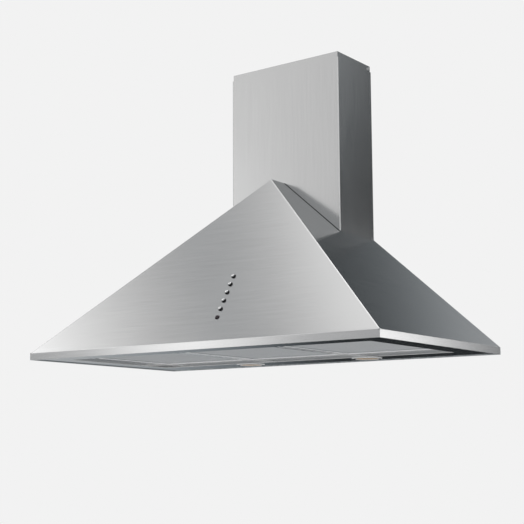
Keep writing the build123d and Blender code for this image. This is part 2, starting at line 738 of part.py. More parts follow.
def make_scroll_half(side):
    """Half of the blower case, split at the fan's middle plane."""
    y, z = scroll_centre()
    wall = SCROLL_WALL
    half = SCROLL_HALF_WIDTH
    air = scroll_outline()
    skin = offset(air, wall, kind=Kind.INTERSECTION)
    body = extrude(Plane.YZ * skin, half) - extrude(Plane.YZ * air, half - wall)
    tongue_y = DUCT_Y - OUTLET_DEPTH / 2
    flange_y = (tongue_y - wall - SCROLL_FLANGE, tongue_y + OUTLET_DEPTH + wall + SCROLL_FLANGE)
    deck = DECK_HEIGHT - SHEET - SEAM
    flange = block((0, half + SCROLL_FLANGE), flange_y, (deck - SCROLL_FLANGE_THICKNESS, deck))
    throat = block((-1, half - wall), (tongue_y, tongue_y + OUTLET_DEPTH), (z + FAN_RADIUS, FAR))
    body = body + flange - throat
    body = body - block((-1, FAR), (-FAR, FAR), (deck, FAR))
    body = body - crosswise(INLET_HOLE_RADIUS, y, z, half - 2 * wall, half + 1)
    body = body - round_the_inlet(screw_hole(half - 2 * wall, half + 1))
    for x, screw_y in deck_screw_places():
        if x > 0:
            body = body - Pos(x, screw_y, 0) * screw_hole(deck - SCREW_RADIUS * 4, deck + 1)
    return body if side > 0 else mirror(body, Plane.YZ)


def deck_screw_places():
    x = SCROLL_HALF_WIDTH + SCROLL_FLANGE / 2
    inset = SCROLL_WALL + SCROLL_FLANGE / 2
    rear = DUCT_Y + OUTLET_DEPTH / 2 + inset
    front = DUCT_Y - OUTLET_DEPTH / 2 - inset
    return [(sx * x, y) for sx in (-1, 1) for y in (front, rear)]


def make_blower_deck():
    """Shelf across the top of the canopy, with flanges turned up along the slopes."""
    top = DECK_HEIGHT
    half = side_x(top, SHEET + SEAM)
    front = front_y(top, SHEET + SEAM)
    rear = WALL - SHEET - SEAM
    deck = block((-half + 1, half - 1), (front, rear), (top - SHEET, top))
    high = top + DECK_FLANGE
    for side in (-1, 1):
        profile = [(side * side_x(top - SHEET, SHEET + SEAM), top - SHEET),
                   (side * side_x(high, SHEET + SEAM), high),
                   (side * side_x(high, 2 * SHEET + SEAM), high),
                   (side * side_x(top - SHEET, 2 * SHEET + SEAM), top - SHEET)]
        deck = deck + prism_along_y(profile, front_y(high, SHEET) + 2 * SHEET, rear)
    rear_half = side_x(high, 2 * SHEET + SEAM) - SHEET
    deck = deck + block((-rear_half, rear_half), (rear - SHEET, rear), (top - SHEET, high))
    deck = deck - upright(SPIGOT_RADIUS - SPIGOT_WALL, 0, DUCT_Y, top - 2 * SHEET, top + SHEET)
    deck = deck - upright(CABLE_HOLE_RADIUS, TERMINAL_BOX_X, gland_y(), top - 2 * SHEET, top + SHEET)
    for x, y in deck_screw_places() + spigot_screw_places():
        deck = deck - Pos(x, y, 0) * screw_hole(top - 2 * SHEET, top + SHEET)
    return deck


def make_blower_screws():
    """Screws that hold the blower to the deck, and the inlet rings and spider to the scroll."""
    tip = SCROLL_HALF_WIDTH - 2 * SCROLL_WALL
    right = SCROLL_HALF_WIDTH + INLET_SHEET
    left = motor_span()[0] - SPIDER_THICKNESS
    screws = round_the_inlet(screw(right, 1, right - tip)) + round_the_inlet(screw(left, -1, -left - tip))
    for x, y in deck_screw_places():
        screws.append(Pos(x, y, 0) * screw(DECK_HEIGHT, 1, 3 * SCREW_RADIUS))
    return group(screws)


def on_fan_axis(shape):
    """Turn a shape made about Z onto the fan axis, with its +Z end towards +X."""
    y, z = scroll_centre()
    return Pos(0, y, z) * Rot(0, 90, 0) * shape


def round_the_inlet(shape):
    """Copies of a shape made about Z, one at each screw round an inlet: one for each spider arm."""
    copies = []
    for index in range(SPIDER_ARMS):
        turn = Rot(0, 0, 90 + index * 360 / SPIDER_ARMS)
        copies.append(on_fan_axis(turn * Pos(RING_SCREW_RADIUS, 0, 0) * shape))
    return copies


def make_inlet_ring(side):
    """Bell mouth that guides air into the fan: a flange and a rounded throat."""
    face = SCROLL_HALF_WIDTH
    bell = INLET_HOLE_RADIUS - SEAM - INLET_THROAT_RADIUS
    outer_face = face + INLET_SHEET
    throat_end = outer_face - INLET_REACH
    outline = [(INLET_RING_RADIUS, face), (INLET_RING_RADIUS, outer_face)]
    for step in range(BELL_STEPS + 1):
        turn = radians(90 * step / BELL_STEPS)
        outline.append((INLET_THROAT_RADIUS + bell * (1 - sin(turn)), outer_face - bell * (1 - cos(turn))))
    outline.append((INLET_THROAT_RADIUS, throat_end))
    outline.append((INLET_THROAT_RADIUS + INLET_SHEET, throat_end))
    outline.append((INLET_THROAT_RADIUS + bell, face))
    ring = revolve(Plane.XZ * make_face(Polyline(*outline, close=True)), Axis.Z)
    ring = on_fan_axis(ring) - round_the_inlet(screw_hole(face - 1, outer_face + 1))
    return ring if side > 0 else mirror(ring, Plane.YZ)


def blade_profile():
    """One forward-curved blade: a strip in flat steps along an arc that swings past the radius."""
    depth = FAN_RADIUS - BLADE_INNER_RADIUS - FAN_RING / 2
    swing = 2 * asin(depth / (2 * BLADE_CURVE_RADIUS))
    outer_side = []
    inner_side = []
    for step in range(BLADE_STEPS + 1):
        angle = swing * (step / BLADE_STEPS - 0.5)
        for side, points in ((BLADE_THICKNESS / 2, outer_side), (-BLADE_THICKNESS / 2, inner_side)):
            radius = BLADE_CURVE_RADIUS + side
            points.append((depth / 2 + radius * sin(angle), -radius * cos(angle)))
    start = BLADE_INNER_RADIUS + FAN_RING / 4
    outline = make_face(Polyline(*outer_side, *reversed(inner_side), close=True))
    return Pos(start, BLADE_CURVE_RADIUS * cos(swing / 2), 0) * outline


def make_impeller():
    """Double-inlet drum: centre disc on a hub, blades through it and a ring at each end."""
    half = FAN_HALF_LENGTH
    blade = extrude(blade_profile(), 2 * half - FAN_RING)
    blade = Pos(0, 0, -half + FAN_RING / 2) * blade
    disc = Cylinder(FAN_RADIUS, FAN_DISC)
    hub = Pos(0, 0, FAN_HUB_LENGTH / 2) * Cylinder(FAN_HUB_RADIUS, FAN_HUB_LENGTH)
    drum = disc + hub
    for end in (-1, 1):
        place = Pos(0, 0, end * (half - FAN_RING / 2))
        drum = drum + place * (Cylinder(FAN_RADIUS, FAN_RING) - Cylinder(BLADE_INNER_RADIUS, FAN_RING))
    blades = [Rot(0, 0, index * 360 / BLADE_COUNT) * blade for index in range(BLADE_COUNT)]
    drum = drum + blades
    drum = drum - Cylinder(SHAFT_RADIUS, 4 * FAN_HUB_LENGTH)
    return on_fan_axis(drum)


def motor_span():
    """X of the motor's outer end and inner end: it stands in the left inlet."""
    outer = -(SCROLL_HALF_WIDTH + INLET_SHEET)
    return outer, outer + MOTOR_LENGTH


def make_motor_can():
    outer, inner = motor_span()
    y, z = scroll_centre()
    can = crosswise(MOTOR_RADIUS, y, z, outer, inner)
    can = can - crosswise(MOTOR_RADIUS - MOTOR_WALL, y, z, outer + MOTOR_WALL, inner + 1)
    boss_end = outer + MOTOR_WALL + BEARING_LENGTH
    can = can + crosswise(BEARING_BOSS_RADIUS, y, z, outer, boss_end)
    return can - crosswise(BEARING_RADIUS, y, z, outer + MOTOR_WALL, boss_end + 1)


def make_motor_end_cap():
    inner = motor_span()[1]
    y, z = scroll_centre()
    cap = crosswise(MOTOR_RADIUS, y, z, inner, inner + MOTOR_WALL)
    cap = cap + crosswise(BEARING_BOSS_RADIUS, y, z, inner - BEARING_LENGTH + MOTOR_WALL, inner + MOTOR_WALL)
    return cap - crosswise(BEARING_RADIUS, y, z, inner - BEARING_LENGTH, inner + 2 * MOTOR_WALL)


def make_motor_bearings():
    outer, inner = motor_span()
    y, z = scroll_centre()
    bushes = []
    starts = (outer + MOTOR_WALL, inner + MOTOR_WALL - BEARING_LENGTH)
    for start in starts:
        bush = crosswise(BEARING_RADIUS, y, z, start, start + BEARING_LENGTH)
        bore = crosswise(SHAFT_RADIUS + SHAFT_CLEARANCE, y, z, start - 1, start + BEARING_LENGTH + 1)
        bushes.append(bush - bore)
    return group(bushes)


def stator_span():
    outer, inner = motor_span()
    middle = (outer + inner) / 2
    return middle - STATOR_LENGTH / 2, middle + STATOR_LENGTH / 2


def make_motor_stator():
    y, z = scroll_centre()
    low, high = stator_span()
    core = crosswise(MOTOR_RADIUS - MOTOR_WALL, y, z, low, high)
    return core - crosswise(STATOR_BORE, y, z, low - 1, high + 1)


def make_motor_rotor():
    y, z = scroll_centre()
    low, high = stator_span()
    core = crosswise(STATOR_BORE - ROTOR_GAP, y, z, low, high)
    return core - crosswise(SHAFT_RADIUS, y, z, low - 1, high + 1)


def make_motor_shaft():
    y, z = scroll_centre()
    start = motor_span()[0] + MOTOR_WALL + SEAM
    return crosswise(SHAFT_RADIUS, y, z, start, FAN_HUB_LENGTH + 2)


def make_motor_spider():
    """Plate on the motor's outer end with arms out to the inlet ring."""
    outer = motor_span()[0]
    arm_length = INLET_RING_RADIUS - SHEET
    plate = Cylinder(SPIDER_HUB_RADIUS, SPIDER_THICKNESS)
    for index in range(SPIDER_ARMS):
        arm = Pos(arm_length / 2, 0, 0) * Box(arm_length, SPIDER_ARM_WIDTH, SPIDER_THICKNESS)
        plate = plate + Rot(0, 0, 90 + index * 360 / SPIDER_ARMS) * arm
    plate = Pos(outer - SPIDER_THICKNESS / 2, 0, 0) * on_fan_axis(plate)
    return plate - round_the_inlet(screw_hole(outer - 2 * SPIDER_THICKNESS, outer + 1))


# ---------------------------------------------------------------- outlet spigot and flaps
def spigot_screw_places():
    radius = (SPIGOT_FLANGE_RADIUS + SPIGOT_RADIUS) / 2
    places = []
    for index in range(4):
        angle = radians(45 + 90 * index)
        places.append((radius * cos(angle), DUCT_Y + radius * sin(angle)))
    return places


def flap_level():
    return DECK_HEIGHT + FLAP_LEVEL


def make_outlet_spigot():
    """Flanged tube for the duct, with a stop ledge and pivot holes for the flaps."""
    base = DECK_HEIGHT
    bore = SPIGOT_RADIUS - SPIGOT_WALL
    tube = upright(SPIGOT_RADIUS, 0, DUCT_Y, base, base + SPIGOT_HEIGHT)
    tube = tube + upright(SPIGOT_FLANGE_RADIUS, 0, DUCT_Y, base, base + SPIGOT_FLANGE)
    tube = tube - upright(bore, 0, DUCT_Y, base - 1, base + SPIGOT_HEIGHT + 1)
    stop_top = flap_level() - FLAP_THICKNESS / 2 - SEAM
    stop = upright(bore + SPIGOT_WALL / 2, 0, DUCT_Y, stop_top - FLAP_STOP_HEIGHT, stop_top)
    stop = stop - upright(bore - FLAP_STOP_WIDTH, 0, DUCT_Y, base, base + SPIGOT_HEIGHT)
    room = FLAP_PIN_OFFSET + FLAP_KNUCKLE_RADIUS + 1
    stop = stop - block((-FAR, FAR), (DUCT_Y - room, DUCT_Y + room), (base, base + SPIGOT_HEIGHT))
    tube = tube + stop
    for side in (-1, 1):
        y = DUCT_Y + side * FLAP_PIN_OFFSET
        tube = tube - crosswise(FLAP_PIN_RADIUS + FLAP_PIN_CLEARANCE, y, flap_level(), -FAR / 2, FAR / 2)
    for x, y in spigot_screw_places():
        tube = tube - Pos(x, y, 0) * screw_hole(base - 1, base + SPIGOT_FLANGE + 1)
    return tube


def make_spigot_screws():
    fixing = screw(DECK_HEIGHT + SPIGOT_FLANGE, 1, SPIGOT_FLANGE + 3 * SHEET)
    return group([Pos(x, y, 0) * fixing for x, y in spigot_screw_places()])


def make_flap(side):
    """Half-round flap on its own pivot pin beside the middle of the spigot."""
    z = flap_level()
    y = DUCT_Y + side * FLAP_PIN_OFFSET
    bore = SPIGOT_RADIUS - SPIGOT_WALL
    disc = upright(bore - FLAP_EDGE_GAP, 0, DUCT_Y, z - FLAP_THICKNESS / 2, z + FLAP_THICKNESS / 2)
    keep = sorted((y, y + side * SPIGOT_RADIUS))
    disc = disc & block((-FAR, FAR), keep, (0, FAR))
    knuckle_half = bore - 3 * FLAP_KNUCKLE_RADIUS / 2
    knuckle = crosswise(FLAP_KNUCKLE_RADIUS, y, z, -knuckle_half, knuckle_half)
    pin_half = SPIGOT_RADIUS - SEAM
    return disc + knuckle + crosswise(FLAP_PIN_RADIUS, y, z, -pin_half, pin_half)


# ---------------------------------------------------------------- electrical pieces
def make_capacitor():
    top = DECK_HEIGHT - SHEET - SEAM
    y = WALL - CAPACITOR_FROM_WALL
    x = SCROLL_HALF_WIDTH + SCROLL_FLANGE + CAPACITOR_GAP + CAPACITOR_RADIUS
    body = upright(CAPACITOR_RADIUS, x, y, top - CAPACITOR_LENGTH, top)
    edge = body.edges().filter_by(GeomType.CIRCLE).sort_by(Axis.Z)[0]
    return chamfer(edge, 2 * SHEET)


def box_span(size, x, z):
    """Span of a box that hangs on the inside of the rear panel."""
    back = WALL - SHEET - SEAM
    return (x - size[0] / 2, x + size[0] / 2), (back - size[1], back), (z - size[2] / 2, z + size[2] / 2)


def gland_y():
    """The cable rises straight from the gland through the deck into the chimney."""
    y_span = box_span(TERMINAL_BOX, TERMINAL_BOX_X, TERMINAL_BOX_Z)[1]
    return sum(y_span) / 2


def make_terminal_box():
    x_span, y_span, z_span = box_span(TERMINAL_BOX, TERMINAL_BOX_X, TERMINAL_BOX_Z)
    wall = TERMINAL_WALL
    box = block(x_span, y_span, z_span)
    hollow_x = (x_span[0] + wall, x_span[1] - wall)
    hollow_z = (z_span[0] + wall, z_span[1] - wall)
    box = box - block(hollow_x, (y_span[0] - 1, y_span[1] - wall), hollow_z)
    box = fillet(box.edges().filter_by(Axis.Y).group_by(SortBy.LENGTH)[-1], wall / 2)
    hole = GLAND_RADIUS - wall + SCREW_CLEARANCE
    return box - upright(hole, TERMINAL_BOX_X, gland_y(), z_span[1] - 2 * wall, z_span[1] + 1)


def make_terminal_lid():
    x_span, y_span, z_span = box_span(TERMINAL_BOX, TERMINAL_BOX_X, TERMINAL_BOX_Z)
    lid = block(x_span, (y_span[0] - TERMINAL_WALL, y_span[0]), z_span)
    return fillet(lid.edges().filter_by(Axis.Y), TERMINAL_WALL)


def make_cable_gland():
    """Screwed gland in the top of the terminal box, where the supply cable enters."""
    x = TERMINAL_BOX_X
    y = gland_y()
    top = box_span(TERMINAL_BOX, TERMINAL_BOX_X, TERMINAL_BOX_Z)[2][1]
    nut = Pos(x, y, top) * extrude(RegularPolygon(GLAND_RADIUS, 6), GLAND_HEIGHT / 2)
    dome = upright(GLAND_RADIUS - TERMINAL_WALL, x, y, top - 2 * TERMINAL_WALL, top + GLAND_HEIGHT)
    return nut + dome - upright(GLAND_BORE, x, y, top - 4 * TERMINAL_WALL, top + 2 * GLAND_HEIGHT)


def make_transformer():
    box = block(*box_span(TRANSFORMER, TRANSFORMER_X, TRANSFORMER_Z))
    return fillet(box.edges().filter_by(Axis.Y), 3 * SHEET)


# ---------------------------------------------------------------- assembly
def collect():
    parts["front_panel"] = make_front_panel()
    parts["left_panel"] = make_side_panel(-1)
    parts["right_panel"] = make_side_panel(1)
    parts["rim_band"] = make_rim_band()
    parts["rear_panel"] = make_rear_panel()
    parts["underside_tray"] = make_underside_tray()
    parts["filter_dividers"] = make_filter_dividers()
    parts["blower_deck"] = make_blower_deck()
    parts["chimney_lower"] = make_chimney_lower()
    parts["chimney_upper"] = make_chimney_upper()
    parts["chimney_bracket"] = make_chimney_bracket()
    parts["chimney_screws"] = make_chimney_screws()
    for index, name in enumerate(("left", "centre", "right")):
        parts["filter_frame_" + name] = make_filter_frame(filter_x(index))
        parts["filter_mesh_" + name] = make_filter_mesh(filter_x(index))
        parts["filter_latch_" + name] = make_filter_latch(filter_x(index))
    for name, x in zip(("left", "right"), lamp_places()):
        parts["lamp_bezel_" + name] = make_lamp_bezel(x)
        parts["lamp_glass_" + name] = make_lamp_glass(x)
        parts["lamp_reflector_" + name] = make_lamp_reflector(x)
        parts["lamp_bulb_" + name] = make_lamp_bulb(x)
    places = button_offsets()
    parts["pilot_lens"] = make_pilot_lens(places[0])
    button_names = ("light", "speed_3", "speed_2", "speed_1", "off")
    for name, place in zip(button_names, places[1:]):
        parts["button_" + name] = make_button(place)
    parts["switch_case"] = make_switch_case()
    parts["switch_board"] = make_switch_board()
    parts["push_switches"] = make_push_switches()
    parts["scroll_half_left"] = make_scroll_half(-1)
    parts["scroll_half_right"] = make_scroll_half(1)
    parts["inlet_ring_left"] = make_inlet_ring(-1)
    parts["inlet_ring_right"] = make_inlet_ring(1)
    parts["impeller"] = make_impeller()
    parts["motor_can"] = make_motor_can()
    parts["motor_end_cap"] = make_motor_end_cap()
    parts["motor_bearings"] = make_motor_bearings()
    parts["motor_stator"] = make_motor_stator()
    parts["motor_rotor"] = make_motor_rotor()
    parts["motor_shaft"] = make_motor_shaft()
    parts["motor_spider"] = make_motor_spider()
    parts["blower_screws"] = make_blower_screws()
    parts["outlet_spigot"] = make_outlet_spigot()
    parts["spigot_screws"] = make_spigot_screws()
    parts["flap_front"] = make_flap(-1)
    parts["flap_rear"] = make_flap(1)
    parts["capacitor"] = make_capacitor()
    parts["terminal_box"] = make_terminal_box()
    parts["terminal_lid"] = make_terminal_lid()
    parts["cable_gland"] = make_cable_gland()
    parts["lamp_transformer"] = make_transformer()


def write():
    os.makedirs("parts", exist_ok=True)
    for name, shape in parts.items():
        export_step(shape, "parts/" + name + ".step")
    print(len(parts), "sub-parts written")


collect()
write()
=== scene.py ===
import math

import bmesh
import bpy
from mathutils import Matrix, Vector


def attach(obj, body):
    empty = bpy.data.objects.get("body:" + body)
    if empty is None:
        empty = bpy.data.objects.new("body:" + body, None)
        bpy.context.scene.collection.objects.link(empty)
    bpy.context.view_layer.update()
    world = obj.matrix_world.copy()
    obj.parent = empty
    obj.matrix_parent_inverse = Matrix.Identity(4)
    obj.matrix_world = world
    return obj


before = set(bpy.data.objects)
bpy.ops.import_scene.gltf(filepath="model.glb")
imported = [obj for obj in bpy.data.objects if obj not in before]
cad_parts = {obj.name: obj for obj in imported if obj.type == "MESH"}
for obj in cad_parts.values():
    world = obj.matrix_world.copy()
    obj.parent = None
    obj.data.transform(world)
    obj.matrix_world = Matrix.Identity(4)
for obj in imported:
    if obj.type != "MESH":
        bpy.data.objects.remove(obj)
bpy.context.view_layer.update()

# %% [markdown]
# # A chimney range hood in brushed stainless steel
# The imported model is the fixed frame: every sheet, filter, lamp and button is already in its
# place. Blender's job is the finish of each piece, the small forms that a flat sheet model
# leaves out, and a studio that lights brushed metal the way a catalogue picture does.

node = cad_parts

# %% [markdown]
# ## Colours and shader nodes
# A colour is written as the hex value that a screen shows. Blender's shaders work in linear
# light, so one function turns hex into linear numbers. A second function adds a shader node
# with its settings and links in one line, which keeps each finish short enough to read.

# %% Colour and node helpers
def linear(hex_colour):
    """Linear RGBA of an sRGB hex colour such as 'c8c8c6'."""
    values = [int(hex_colour[i:i + 2], 16) / 255 for i in (0, 2, 4)]
    return tuple(v / 12.92 if v <= 0.04045 else ((v + 0.055) / 1.055) ** 2.4 for v in values) + (1.0,)


def add(tree, kind, settings=None, links=None):
    """Adds a node; settings are attributes or input values, links feed its inputs."""
    made = tree.nodes.new(kind)
    for key, value in (settings or {}).items():
        if isinstance(key, str) and hasattr(made, key):
            setattr(made, key, value)
        else:
            made.inputs[key].default_value = value
    for key, socket in (links or {}).items():
        tree.links.new(socket, made.inputs[key])
    return made


def new_finish(name, **values):
    """An empty material with one Principled shader; values go on the shader's own sockets."""
    material = bpy.data.materials.new(name)
    material.use_nodes = True
    tree = material.node_tree
    tree.nodes.clear()
    shader = add(tree, "ShaderNodeBsdfPrincipled", {k.replace("_", " "): v for k, v in values.items()})
    add(tree, "ShaderNodeOutputMaterial", links={"Surface": shader.outputs["BSDF"]})
    place = add(tree, "ShaderNodeTexCoord").outputs["Object"]
    return material, tree, shader, place


print("white is", linear("ffffff"))

# %% [markdown]
# ## Brushed stainless steel
# The hood is folded from 1 mm stainless sheet whose face was ground with a belt, so it has
# fine straight scratches in one direction, which soften what it mirrors. Real scratches are a
# few hundredths of a millimetre wide: here they are drawn about 1 mm wide, as coarse as the
# picture needs to show them. One noise, stretched along the grain, drives both a slight bump
# and a slight change of roughness.

# %% Brushed sheet
SCRATCHES_ACROSS, SCRATCHES_ALONG = 1100.0, 9.0  # per metre


def brushed_stainless(name, along, hex_light="d0d0d0", hex_dark="c8c8c8", rough=(0.14, 0.19), bump=0.02):
    """Belt-ground sheet; along is 0, 1 or 2 for scratches that run in X, Y or Z."""
    material, tree, shader, place = new_finish(name, Metallic=1.0)
    stretch = [SCRATCHES_ACROSS] * 3
    stretch[along] = SCRATCHES_ALONG
    line = add(tree, "ShaderNodeMapping", {"Scale": stretch}, {"Vector": place})
    grain = add(tree, "ShaderNodeTexNoise", {"Scale": 1.0, "Detail": 4.0, "Roughness": 0.6},
                {"Vector": line.outputs["Vector"]})
    cloud = add(tree, "ShaderNodeTexNoise", {"Scale": 3.5, "Detail": 2.0}, {"Vector": place})
    both = add(tree, "ShaderNodeMix", {"data_type": "FLOAT", "Factor": 0.35},
               {2: grain.outputs["Fac"], 3: cloud.outputs["Fac"]})
    tone = add(tree, "ShaderNodeValToRGB", links={"Fac": both.outputs[0]})
    tone.color_ramp.elements[0].position = 0.35
    tone.color_ramp.elements[0].color = linear(hex_dark)
    tone.color_ramp.elements[1].position = 0.65
    tone.color_ramp.elements[1].color = linear(hex_light)
    limits = {"From Min": 0.3, "From Max": 0.7, "To Min": rough[0], "To Max": rough[1]}
    spread = add(tree, "ShaderNodeMapRange", limits, {"Value": grain.outputs["Fac"]})
    dent = add(tree, "ShaderNodeBump", {"Strength": bump, "Distance": 0.0004},
               {"Height": grain.outputs["Fac"]})
    tree.links.new(tone.outputs["Color"], shader.inputs["Base Color"])
    tree.links.new(spread.outputs["Result"], shader.inputs["Roughness"])
    tree.links.new(dent.outputs["Normal"], shader.inputs["Normal"])
    return material


def dress(material, *names):
    """Puts one finish on CAD nodes."""
    for name in names:
        slots = node[name].data.materials
        slots.clear()
        slots.append(material)
    print(material.name, "on", len(names), "pieces")


dress(brushed_stainless("brushed_stainless_across", 0), "front_panel", "rim_band")
dress(brushed_stainless("bright_rolled_tray", 0, rough=(0.07, 0.11), bump=0.01), "underside_tray")
dress(brushed_stainless("brushed_stainless_deep", 1, bump=0.005), "left_panel", "right_panel")
dress(brushed_stainless("brushed_stainless_upright", 2), "chimney_lower", "chimney_upper")

# %% [markdown]
# ## Zinc-coated inner sheet
# Sheets that face the wall or sit inside are galvanised steel. Hot zinc freezes into flat
# crystals, so the surface is a mosaic of slightly different greys. A Voronoi texture gives
# each crystal its own tone and its own roughness.

# %% Galvanised sheet
CRYSTALS = 120.0  # per metre, so each is about 8 mm wide


def galvanised(name):
    """Hot-dipped zinc: its crystals give the eye a mosaic of dull and bright greys."""
    material, tree, shader, place = new_finish(name, Metallic=1.0)
    cells = add(tree, "ShaderNodeTexVoronoi", {"Scale": CRYSTALS, "Randomness": 1.0}, {"Vector": place})
    grey = add(tree, "ShaderNodeSeparateColor", links={"Color": cells.outputs["Color"]})
    tone = add(tree, "ShaderNodeValToRGB", links={"Fac": grey.outputs["Red"]})
    tone.color_ramp.elements[0].color = linear("a9adb0")
    tone.color_ramp.elements[1].color = linear("c4c8ca")
    spread = add(tree, "ShaderNodeMapRange", {"To Min": 0.38, "To Max": 0.52},
                 {"Value": grey.outputs["Green"]})
    tree.links.new(tone.outputs["Color"], shader.inputs["Base Color"])
    tree.links.new(spread.outputs["Result"], shader.inputs["Roughness"])
    return material


dress(galvanised("galvanised_sheet"), "rear_panel", "filter_dividers", "blower_deck", "chimney_bracket",
      "motor_spider", "inlet_ring_left", "inlet_ring_right", "outlet_spigot", "flap_front", "flap_rear")

# %% [markdown]
# ## Moulded plastics
# Switches, the scroll and the electrical boxes are injection moulded. Their tools are
# spark-eroded, which leaves an even fine grain: a small noise bump and a broken sheen.

# %% Spark-eroded plastic
def moulded(name, hex_colour, rough=0.5, grain=0.9, metallic=0.0):
    """Plastic with an eroded skin; grain is the size of its pits in millimetres."""
    material, tree, shader, place = new_finish(name, Metallic=metallic)
    pits = add(tree, "ShaderNodeTexNoise", {"Scale": 1000.0 / grain, "Detail": 2.0}, {"Vector": place})
    wear = add(tree, "ShaderNodeTexNoise", {"Scale": 30.0, "Detail": 3.0}, {"Vector": place})
    base = linear(hex_colour)
    tone = add(tree, "ShaderNodeValToRGB", links={"Fac": wear.outputs["Fac"]})
    tone.color_ramp.elements[0].color = tuple(v * 0.88 for v in base[:3]) + (1.0,)
    tone.color_ramp.elements[1].color = tuple(min(1.0, v * 1.08) for v in base[:3]) + (1.0,)
    spread = add(tree, "ShaderNodeMapRange", {"To Min": rough - 0.07, "To Max": rough + 0.07},
                 {"Value": wear.outputs["Fac"]})
    dent = add(tree, "ShaderNodeBump", {"Strength": 0.15, "Distance": 0.0003},
               {"Height": pits.outputs["Fac"]})
    tree.links.new(tone.outputs["Color"], shader.inputs["Base Color"])
    tree.links.new(spread.outputs["Result"], shader.inputs["Roughness"])
    tree.links.new(dent.outputs["Normal"], shader.inputs["Normal"])
    return material


dress(moulded("switch_black_abs", "1c1c1d", 0.45), "switch_case", "push_switches", "lamp_transformer")
dress(moulded("board_green_laminate", "1f5a3a", 0.4), "switch_board")
dress(moulded("scroll_grey_polypropylene", "8d9092", 0.5), "scroll_half_left", "scroll_half_right")
dress(moulded("impeller_black_polyamide", "2a2a2c", 0.42), "impeller")
dress(moulded("box_white_abs", "d9d8d2", 0.45), "terminal_box", "terminal_lid", "cable_gland", "capacitor")
dress(moulded("latch_grey_abs", "6a6c6e", 0.42),
      "filter_latch_left", "filter_latch_centre", "filter_latch_right")
dress(moulded("motor_dark_lacquer", "3d4043", 0.38, metallic=0.6), "motor_can", "motor_end_cap")
dress(moulded("motor_laminations", "5b5d60", 0.45, metallic=0.9), "motor_stator", "motor_rotor")
dress(moulded("bronze_bush", "a8763c", 0.4, metallic=1.0), "motor_bearings")

# %% [markdown]
# ## Bright metal
# Buttons, lamp rings, screws and the shaft are polished or plated. A plated skin is thin and
# smooth, so only faint handling marks break its mirror. The buttons' sides are given a dark
# plate as painted shade, for the shaded side of each button; their bright domed caps come further down.

# %% Plated metal
def plated(name, hex_colour, rough):
    """A plated or polished skin: the eye sees an almost clear mirror with faint marks."""
    material, tree, shader, place = new_finish(name, Metallic=1.0)
    marks = add(tree, "ShaderNodeTexNoise", {"Scale": 220.0, "Detail": 3.0}, {"Vector": place})
    tone = add(tree, "ShaderNodeValToRGB", links={"Fac": marks.outputs["Fac"]})
    base = linear(hex_colour)
    tone.color_ramp.elements[0].color = tuple(v * 0.9 for v in base[:3]) + (1.0,)
    tone.color_ramp.elements[1].color = base
    spread = add(tree, "ShaderNodeMapRange", {"To Min": rough * 0.6, "To Max": rough * 1.6},
                 {"Value": marks.outputs["Fac"]})
    tree.links.new(tone.outputs["Color"], shader.inputs["Base Color"])
    tree.links.new(spread.outputs["Result"], shader.inputs["Roughness"])
    return material


buttons = [n for n in node if n.startswith("button_")]
# the dark plate on the buttons' sides is painted shade
dress(plated("dark_plate_painted_shade", "3a3b3d", 0.16), *buttons)
dress(plated("bezel_chrome_plate", "d8d8d8", 0.12), "lamp_bezel_left", "lamp_bezel_right")
dress(plated("zinc_screw", "c9cacb", 0.28), "chimney_screws", "blower_screws", "spigot_screws", "motor_shaft")
dress(plated("spun_aluminium", "d5d6d7", 0.25), "lamp_reflector_left", "lamp_reflector_right")

# %% [markdown]
# ## Filter frames and mesh
# A grease filter is an anodised aluminium frame round layers of expanded mesh. Anodising
# gives satin metal with a faint draw line along the profile. The mesh is aluminium foil that
# was slit and pulled open. The CAD model has its layers as plain thin sheets, so their finish
# draws cells about 5 mm long: light strands round dark holes, whose dark is painted shade
# for the shaded depth seen through the holes.

# %% Anodised frame and expanded mesh
MESH_CELLS = (200.0, 380.0, 60.0)  # per metre, in X, Y and Z


def expanded_mesh(name):
    """Layers of expanded foil: light strands and dark holes, the holes' dark being painted shade."""
    material, tree, shader, place = new_finish(name, Metallic=1.0, Roughness=0.42)
    squeeze = add(tree, "ShaderNodeMapping", {"Scale": MESH_CELLS}, {"Vector": place})
    strands = add(tree, "ShaderNodeTexVoronoi",
                  {"Scale": 1.0, "Randomness": 0.15, "feature": "DISTANCE_TO_EDGE"},
                  {"Vector": squeeze.outputs["Vector"]})
    tone = add(tree, "ShaderNodeValToRGB", links={"Fac": strands.outputs["Distance"]})
    tone.color_ramp.elements[0].position = 0.08
    tone.color_ramp.elements[0].color = linear("a4a6a8")
    tone.color_ramp.elements[1].position = 0.26
    # the dark between the strands is painted shade of the depth behind the holes
    tone.color_ramp.elements[1].color = linear("3c3d3e")
    dent = add(tree, "ShaderNodeBump", {"Strength": 0.6, "Distance": 0.0008, "invert": True},
               {"Height": strands.outputs["Distance"]})
    tree.links.new(tone.outputs["Color"], shader.inputs["Base Color"])
    tree.links.new(dent.outputs["Normal"], shader.inputs["Normal"])
    return material


frames = [n for n in node if n.startswith("filter_frame")]
meshes = [n for n in node if n.startswith("filter_mesh")]
dress(brushed_stainless("anodised_aluminium", 1, "e4e5e6", "dadcdd", (0.13, 0.18), 0.02), *frames)
dress(expanded_mesh("expanded_aluminium"), *meshes)

# %% [markdown]
# ## Glass
# The lamp glass is frosted and tinted, so it shows pale and a little orange even when the lamp
# is off. The bulbs behind it are clearer, and the pilot lens is a dark, nearly black red.

